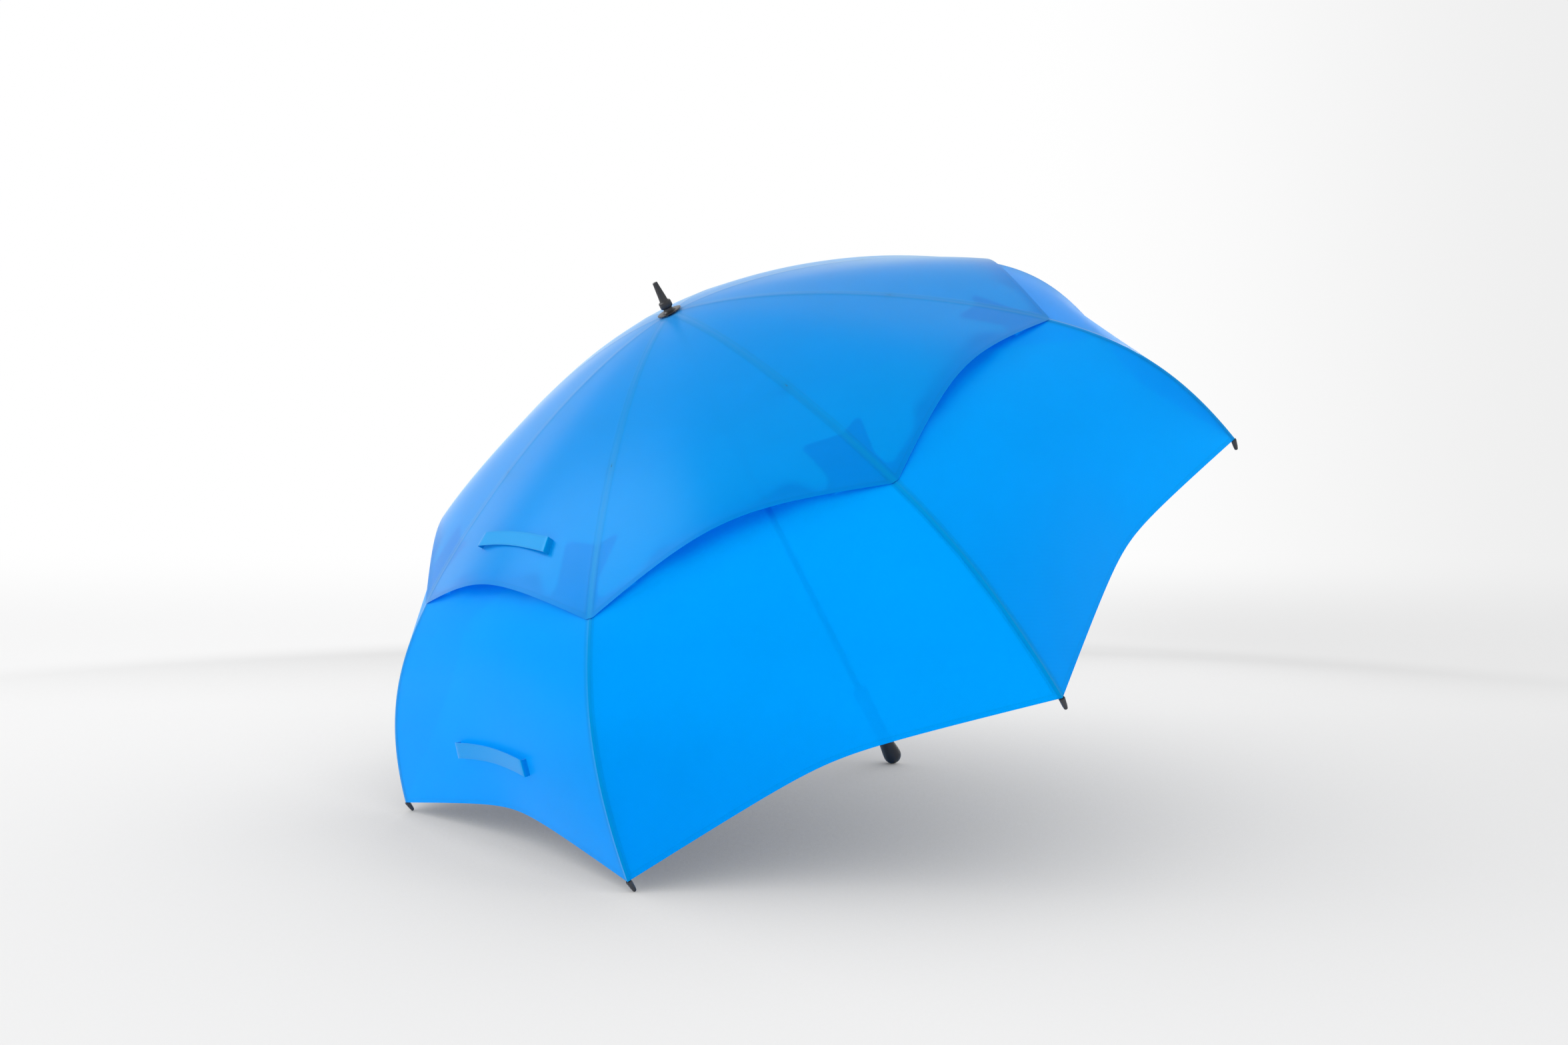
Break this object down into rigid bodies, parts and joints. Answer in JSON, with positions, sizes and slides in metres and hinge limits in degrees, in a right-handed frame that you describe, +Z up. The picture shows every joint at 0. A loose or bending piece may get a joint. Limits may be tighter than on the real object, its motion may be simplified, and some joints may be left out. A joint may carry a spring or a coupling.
{
  "type": "double canopy golf umbrella",
  "caption": "Open stick umbrella with a vented double canopy on folding ribs and a straight handle, lying on its rib tips and handle end.",
  "frame": {"origin": "centre of the bounding box at floor height, under the open umbrella as it lies on two rib tips and the end of its handle", "axes": "+Z up; +X across the canopy, along the line between the two rib tips that stand on the floor; the shaft leans in the YZ plane, its ferrule toward +Y and its handle toward -Y"},
  "size_m": [1.1866, 0.9982, 0.822],
  "materials": {
    "upper_cloth": "woven nylon, azure blue, thin enough to show what lies behind it",
    "lower_cloth": "woven nylon, azure blue, glowing a little where light comes through",
    "strap_cloth": "woven nylon tape, azure blue",
    "black_plastic": "moulded satin black plastic",
    "grip_rubber": "soft-touch black",
    "rib_glassfibre": "black glassfibre rod",
    "shaft_metal": "black anodised tube",
    "spring_steel": "drawn wire"
  },
  "bodies": {
    "shaft": {"shaft": "shaft_metal", "ferrule": "black_plastic", "top_disc": "black_plastic", "crown": "black_plastic", "handle": "grip_rubber", "button_housing": "black_plastic", "button_spring": "spring_steel", "opening_spring": "spring_steel"},
    "runner": {"runner": "black_plastic"},
    "push_button": {"push_button": "black_plastic"},
    "rib_inner_1": {"rib_inner_1": "rib_glassfibre"},
    "rib_outer_1": {"rib_outer_1": "rib_glassfibre", "rib_tip_1": "black_plastic"},
    "stretcher_1": {"stretcher_1": "black_plastic"},
    "rib_inner_2": {"rib_inner_2": "rib_glassfibre"},
    "rib_outer_2": {"rib_outer_2": "rib_glassfibre", "rib_tip_2": "black_plastic"},
    "stretcher_2": {"stretcher_2": "black_plastic"},
    "rib_inner_3": {"rib_inner_3": "rib_glassfibre"},
    "rib_outer_3": {"rib_outer_3": "rib_glassfibre", "rib_tip_3": "black_plastic"},
    "stretcher_3": {"stretcher_3": "black_plastic"},
    "rib_inner_4": {"rib_inner_4": "rib_glassfibre"},
    "rib_outer_4": {"rib_outer_4": "rib_glassfibre", "rib_tip_4": "black_plastic"},
    "stretcher_4": {"stretcher_4": "black_plastic"},
    "rib_inner_5": {"rib_inner_5": "rib_glassfibre"},
    "rib_outer_5": {"rib_outer_5": "rib_glassfibre", "rib_tip_5": "black_plastic"},
    "stretcher_5": {"stretcher_5": "black_plastic"},
    "rib_inner_6": {"rib_inner_6": "rib_glassfibre"},
    "rib_outer_6": {"rib_outer_6": "rib_glassfibre", "rib_tip_6": "black_plastic"},
    "stretcher_6": {"stretcher_6": "black_plastic"},
    "rib_inner_7": {"rib_inner_7": "rib_glassfibre"},
    "rib_outer_7": {"rib_outer_7": "rib_glassfibre", "rib_tip_7": "black_plastic"},
    "stretcher_7": {"stretcher_7": "black_plastic"},
    "rib_inner_8": {"rib_inner_8": "rib_glassfibre"},
    "rib_outer_8": {"rib_outer_8": "rib_glassfibre", "rib_tip_8": "black_plastic"},
    "stretcher_8": {"stretcher_8": "black_plastic"},
    "upper_panel_1": {"upper_panel_1": "upper_cloth", "upper_strap": "strap_cloth"},
    "lower_panel_1": {"lower_panel_1": "lower_cloth", "lower_strap": "strap_cloth"},
    "upper_panel_2": {"upper_panel_2": "upper_cloth"},
    "lower_panel_2": {"lower_panel_2": "lower_cloth"},
    "upper_panel_3": {"upper_panel_3": "upper_cloth"},
    "lower_panel_3": {"lower_panel_3": "lower_cloth"},
    "upper_panel_4": {"upper_panel_4": "upper_cloth"},
    "lower_panel_4": {"lower_panel_4": "lower_cloth"},
    "upper_panel_5": {"upper_panel_5": "upper_cloth"},
    "lower_panel_5": {"lower_panel_5": "lower_cloth"},
    "upper_panel_6": {"upper_panel_6": "upper_cloth"},
    "lower_panel_6": {"lower_panel_6": "lower_cloth"},
    "upper_panel_7": {"upper_panel_7": "upper_cloth"},
    "lower_panel_7": {"lower_panel_7": "lower_cloth"},
    "upper_panel_8": {"upper_panel_8": "upper_cloth"},
    "lower_panel_8": {"lower_panel_8": "lower_cloth"}
  },
  "joints": [
    {"name": "runner_slide", "type": "slide", "parent": "shaft", "child": "runner", "axis": [0, -0.5817, -0.8134], "range_m": [0, 0.4271], "deforming": ["opening_spring"]},
    {"name": "rib_hinge_1", "type": "hinge", "parent": "shaft", "child": "rib_inner_1", "pos_m": [0.00356, 0.22205, 0.66498], "axis": [-0.9239, 0.3113, -0.2226], "range_deg": [0, 73.91]},
    {"name": "rib_flex_1", "type": "hinge", "parent": "rib_inner_1", "child": "rib_outer_1", "pos_m": [0.11456, 0.39852, 0.45102], "axis": [0.9239, -0.3113, 0.2226], "range_deg": [0, 28.71]},
    {"name": "stretcher_hinge_1", "type": "hinge", "parent": "rib_inner_1", "child": "stretcher_1", "pos_m": [0.11363, 0.39337, 0.4477], "axis": [0.9239, -0.3113, 0.2226], "range_deg": [0, 145.76]},
    {"name": "rib_hinge_2", "type": "hinge", "parent": "shaft", "child": "rib_inner_2", "pos_m": [0.00859, 0.21796, 0.6679], "axis": [-0.3827, 0.7515, -0.5374], "range_deg": [0, 73.91]},
    {"name": "rib_flex_2", "type": "hinge", "parent": "rib_inner_2", "child": "rib_outer_2", "pos_m": [0.27658, 0.26673, 0.54527], "axis": [0.3827, -0.7515, 0.5374], "range_deg": [0, 28.71]},
    {"name": "stretcher_hinge_2", "type": "hinge", "parent": "rib_inner_2", "child": "stretcher_2", "pos_m": [0.27433, 0.26266, 0.54118], "axis": [0.3827, -0.7515, 0.5374], "range_deg": [0, 145.76]},
    {"name": "rib_hinge_3", "type": "hinge", "parent": "shaft", "child": "rib_inner_3", "pos_m": [0.00859, 0.21218, 0.67204], "axis": [0.3827, 0.7515, -0.5374], "range_deg": [0, 73.91]},
    {"name": "rib_flex_3", "type": "hinge", "parent": "rib_inner_3", "child": "rib_outer_3", "pos_m": [0.27658, 0.08036, 0.67856], "axis": [-0.3827, -0.7515, 0.5374], "range_deg": [0, 28.71]},
    {"name": "stretcher_hinge_3", "type": "hinge", "parent": "rib_inner_3", "child": "stretcher_3", "pos_m": [0.27433, 0.07781, 0.67338], "axis": [-0.3827, -0.7515, 0.5374], "range_deg": [0, 145.76]},
    {"name": "rib_hinge_4", "type": "hinge", "parent": "shaft", "child": "rib_inner_4", "pos_m": [0.00356, 0.20808, 0.67497], "axis": [0.9239, 0.3113, -0.2226], "range_deg": [0, 73.91]},
    {"name": "rib_flex_4", "type": "hinge", "parent": "rib_inner_4", "child": "rib_outer_4", "pos_m": [0.11456, -0.05142, 0.77281], "axis": [-0.9239, -0.3113, 0.2226], "range_deg": [0, 28.71]},
    {"name": "stretcher_hinge_4", "type": "hinge", "parent": "rib_inner_4", "child": "stretcher_4", "pos_m": [0.11363, -0.0529, 0.76686], "axis": [-0.9239, -0.3113, 0.2226], "range_deg": [0, 145.76]},
    {"name": "rib_hinge_5", "type": "hinge", "parent": "shaft", "child": "rib_inner_5", "pos_m": [-0.00356, 0.20808, 0.67497], "axis": [0.9239, -0.3113, 0.2226], "range_deg": [0, 73.91]},
    {"name": "rib_flex_5", "type": "hinge", "parent": "rib_inner_5", "child": "rib_outer_5", "pos_m": [-0.11456, -0.05142, 0.77281], "axis": [-0.9239, 0.3113, -0.2226], "range_deg": [0, 28.71]},
    {"name": "stretcher_hinge_5", "type": "hinge", "parent": "rib_inner_5", "child": "stretcher_5", "pos_m": [-0.11363, -0.0529, 0.76686], "axis": [-0.9239, 0.3113, -0.2226], "range_deg": [0, 145.76]},
    {"name": "rib_hinge_6", "type": "hinge", "parent": "shaft", "child": "rib_inner_6", "pos_m": [-0.00859, 0.21218, 0.67204], "axis": [0.3827, -0.7515, 0.5374], "range_deg": [0, 73.91]},
    {"name": "rib_flex_6", "type": "hinge", "parent": "rib_inner_6", "child": "rib_outer_6", "pos_m": [-0.27658, 0.08036, 0.67856], "axis": [-0.3827, 0.7515, -0.5374], "range_deg": [0, 28.71]},
    {"name": "stretcher_hinge_6", "type": "hinge", "parent": "rib_inner_6", "child": "stretcher_6", "pos_m": [-0.27433, 0.07781, 0.67338], "axis": [-0.3827, 0.7515, -0.5374], "range_deg": [0, 145.76]},
    {"name": "rib_hinge_7", "type": "hinge", "parent": "shaft", "child": "rib_inner_7", "pos_m": [-0.00859, 0.21796, 0.6679], "axis": [-0.3827, -0.7515, 0.5374], "range_deg": [0, 73.91]},
    {"name": "rib_flex_7", "type": "hinge", "parent": "rib_inner_7", "child": "rib_outer_7", "pos_m": [-0.27658, 0.26673, 0.54527], "axis": [0.3827, 0.7515, -0.5374], "range_deg": [0, 28.71]},
    {"name": "stretcher_hinge_7", "type": "hinge", "parent": "rib_inner_7", "child": "stretcher_7", "pos_m": [-0.27433, 0.26266, 0.54118], "axis": [0.3827, 0.7515, -0.5374], "range_deg": [0, 145.76]},
    {"name": "rib_hinge_8", "type": "hinge", "parent": "shaft", "child": "rib_inner_8", "pos_m": [-0.00356, 0.22205, 0.66498], "axis": [-0.9239, -0.3113, 0.2226], "range_deg": [0, 73.91]},
    {"name": "rib_flex_8", "type": "hinge", "parent": "rib_inner_8", "child": "rib_outer_8", "pos_m": [-0.11456, 0.39852, 0.45102], "axis": [0.9239, 0.3113, -0.2226], "range_deg": [0, 28.71]},
    {"name": "stretcher_hinge_8", "type": "hinge", "parent": "rib_inner_8", "child": "stretcher_8", "pos_m": [-0.11363, 0.39337, 0.4477], "axis": [0.9239, 0.3113, -0.2226], "range_deg": [0, 145.76]},
    {"name": "upper_panel_hinge_1", "type": "hinge", "parent": "shaft", "child": "upper_panel_1", "pos_m": [0, 0.21507, 0.66997], "axis": [-1, 0, 0], "range_deg": [0, 58.69], "deforming": ["upper_panel_1", "upper_strap"]},
    {"name": "lower_panel_hinge_1", "type": "hinge", "parent": "shaft", "child": "lower_panel_1", "pos_m": [0, 0.15783, 0.82508], "axis": [-1, 0, 0], "range_deg": [0, 45.21], "deforming": ["lower_panel_1", "lower_strap"]},
    {"name": "upper_panel_hinge_2", "type": "hinge", "parent": "shaft", "child": "upper_panel_2", "pos_m": [0, 0.21507, 0.66997], "axis": [-0.7071, 0.5752, -0.4113], "range_deg": [0, 58.69], "deforming": ["upper_panel_2"]},
    {"name": "lower_panel_hinge_2", "type": "hinge", "parent": "shaft", "child": "lower_panel_2", "pos_m": [-0.09673, 0.19041, 0.80177], "axis": [-0.7071, 0.5752, -0.4113], "range_deg": [0, 45.21], "deforming": ["lower_panel_2"]},
    {"name": "upper_panel_hinge_3", "type": "hinge", "parent": "shaft", "child": "upper_panel_3", "pos_m": [0, 0.21507, 0.66997], "axis": [0, 0.8134, -0.5817], "range_deg": [0, 58.69], "deforming": ["upper_panel_3"]},
    {"name": "lower_panel_hinge_3", "type": "hinge", "parent": "shaft", "child": "lower_panel_3", "pos_m": [-0.13679, 0.26909, 0.7455], "axis": [0, 0.8134, -0.5817], "range_deg": [0, 45.21], "deforming": ["lower_panel_3"]},
    {"name": "upper_panel_hinge_4", "type": "hinge", "parent": "shaft", "child": "upper_panel_4", "pos_m": [0, 0.21507, 0.66997], "axis": [0.7071, 0.5752, -0.4113], "range_deg": [0, 58.69], "deforming": ["upper_panel_4"]},
    {"name": "lower_panel_hinge_4", "type": "hinge", "parent": "shaft", "child": "lower_panel_4", "pos_m": [-0.09673, 0.34776, 0.68924], "axis": [0.7071, 0.5752, -0.4113], "range_deg": [0, 45.21], "deforming": ["lower_panel_4"]},
    {"name": "upper_panel_hinge_5", "type": "hinge", "parent": "shaft", "child": "upper_panel_5", "pos_m": [0, 0.21507, 0.66997], "axis": [1, 0, 0], "range_deg": [0, 58.69], "deforming": ["upper_panel_5"]},
    {"name": "lower_panel_hinge_5", "type": "hinge", "parent": "shaft", "child": "lower_panel_5", "pos_m": [0, 0.38035, 0.66593], "axis": [1, 0, 0], "range_deg": [0, 45.21], "deforming": ["lower_panel_5"]},
    {"name": "upper_panel_hinge_6", "type": "hinge", "parent": "shaft", "child": "upper_panel_6", "pos_m": [0, 0.21507, 0.66997], "axis": [0.7071, -0.5752, 0.4113], "range_deg": [0, 58.69], "deforming": ["upper_panel_6"]},
    {"name": "lower_panel_hinge_6", "type": "hinge", "parent": "shaft", "child": "lower_panel_6", "pos_m": [0.09673, 0.34776, 0.68924], "axis": [0.7071, -0.5752, 0.4113], "range_deg": [0, 45.21], "deforming": ["lower_panel_6"]},
    {"name": "upper_panel_hinge_7", "type": "hinge", "parent": "shaft", "child": "upper_panel_7", "pos_m": [0, 0.21507, 0.66997], "axis": [0, -0.8134, 0.5817], "range_deg": [0, 58.69], "deforming": ["upper_panel_7"]},
    {"name": "lower_panel_hinge_7", "type": "hinge", "parent": "shaft", "child": "lower_panel_7", "pos_m": [0.13679, 0.26909, 0.7455], "axis": [0, -0.8134, 0.5817], "range_deg": [0, 45.21], "deforming": ["lower_panel_7"]},
    {"name": "upper_panel_hinge_8", "type": "hinge", "parent": "shaft", "child": "upper_panel_8", "pos_m": [0, 0.21507, 0.66997], "axis": [-0.7071, -0.5752, 0.4113], "range_deg": [0, 58.69], "deforming": ["upper_panel_8"]},
    {"name": "lower_panel_hinge_8", "type": "hinge", "parent": "shaft", "child": "lower_panel_8", "pos_m": [0.09673, 0.19041, 0.80177], "axis": [-0.7071, -0.5752, 0.4113], "range_deg": [0, 45.21], "deforming": ["lower_panel_8"]},
    {"name": "button_press", "type": "slide", "parent": "shaft", "child": "push_button", "axis": [0, -0.8134, 0.5817], "range_m": [0, 0.0022], "stiffness_N_per_m": 300, "springref_m": -0.002, "deforming": ["button_spring"]}
  ],
  "couplings": [
    {"joint": "rib_hinge_1", "follows": "runner_slide", "rad_per_m": 3.02},
    {"joint": "rib_flex_1", "follows": "runner_slide", "rad_per_m": 1.1729},
    {"joint": "stretcher_hinge_1", "follows": "runner_slide", "rad_per_m": 5.9561},
    {"joint": "rib_hinge_2", "follows": "runner_slide", "rad_per_m": 3.02},
    {"joint": "rib_flex_2", "follows": "runner_slide", "rad_per_m": 1.1729},
    {"joint": "stretcher_hinge_2", "follows": "runner_slide", "rad_per_m": 5.9561},
    {"joint": "rib_hinge_3", "follows": "runner_slide", "rad_per_m": 3.02},
    {"joint": "rib_flex_3", "follows": "runner_slide", "rad_per_m": 1.1729},
    {"joint": "stretcher_hinge_3", "follows": "runner_slide", "rad_per_m": 5.9561},
    {"joint": "rib_hinge_4", "follows": "runner_slide", "rad_per_m": 3.02},
    {"joint": "rib_flex_4", "follows": "runner_slide", "rad_per_m": 1.1729},
    {"joint": "stretcher_hinge_4", "follows": "runner_slide", "rad_per_m": 5.9561},
    {"joint": "rib_hinge_5", "follows": "runner_slide", "rad_per_m": 3.02},
    {"joint": "rib_flex_5", "follows": "runner_slide", "rad_per_m": 1.1729},
    {"joint": "stretcher_hinge_5", "follows": "runner_slide", "rad_per_m": 5.9561},
    {"joint": "rib_hinge_6", "follows": "runner_slide", "rad_per_m": 3.02},
    {"joint": "rib_flex_6", "follows": "runner_slide", "rad_per_m": 1.1729},
    {"joint": "stretcher_hinge_6", "follows": "runner_slide", "rad_per_m": 5.9561},
    {"joint": "rib_hinge_7", "follows": "runner_slide", "rad_per_m": 3.02},
    {"joint": "rib_flex_7", "follows": "runner_slide", "rad_per_m": 1.1729},
    {"joint": "stretcher_hinge_7", "follows": "runner_slide", "rad_per_m": 5.9561},
    {"joint": "rib_hinge_8", "follows": "runner_slide", "rad_per_m": 3.02},
    {"joint": "rib_flex_8", "follows": "runner_slide", "rad_per_m": 1.1729},
    {"joint": "stretcher_hinge_8", "follows": "runner_slide", "rad_per_m": 5.9561},
    {"joint": "upper_panel_hinge_1", "follows": "runner_slide", "rad_per_m": 2.3978},
    {"joint": "lower_panel_hinge_1", "follows": "runner_slide", "rad_per_m": 1.8471},
    {"joint": "upper_panel_hinge_2", "follows": "runner_slide", "rad_per_m": 2.3978},
    {"joint": "lower_panel_hinge_2", "follows": "runner_slide", "rad_per_m": 1.8471},
    {"joint": "upper_panel_hinge_3", "follows": "runner_slide", "rad_per_m": 2.3978},
    {"joint": "lower_panel_hinge_3", "follows": "runner_slide", "rad_per_m": 1.8471},
    {"joint": "upper_panel_hinge_4", "follows": "runner_slide", "rad_per_m": 2.3978},
    {"joint": "lower_panel_hinge_4", "follows": "runner_slide", "rad_per_m": 1.8471},
    {"joint": "upper_panel_hinge_5", "follows": "runner_slide", "rad_per_m": 2.3978},
    {"joint": "lower_panel_hinge_5", "follows": "runner_slide", "rad_per_m": 1.8471},
    {"joint": "upper_panel_hinge_6", "follows": "runner_slide", "rad_per_m": 2.3978},
    {"joint": "lower_panel_hinge_6", "follows": "runner_slide", "rad_per_m": 1.8471},
    {"joint": "upper_panel_hinge_7", "follows": "runner_slide", "rad_per_m": 2.3978},
    {"joint": "lower_panel_hinge_7", "follows": "runner_slide", "rad_per_m": 1.8471},
    {"joint": "upper_panel_hinge_8", "follows": "runner_slide", "rad_per_m": 2.3978},
    {"joint": "lower_panel_hinge_8", "follows": "runner_slide", "rad_per_m": 1.8471}
  ]
}
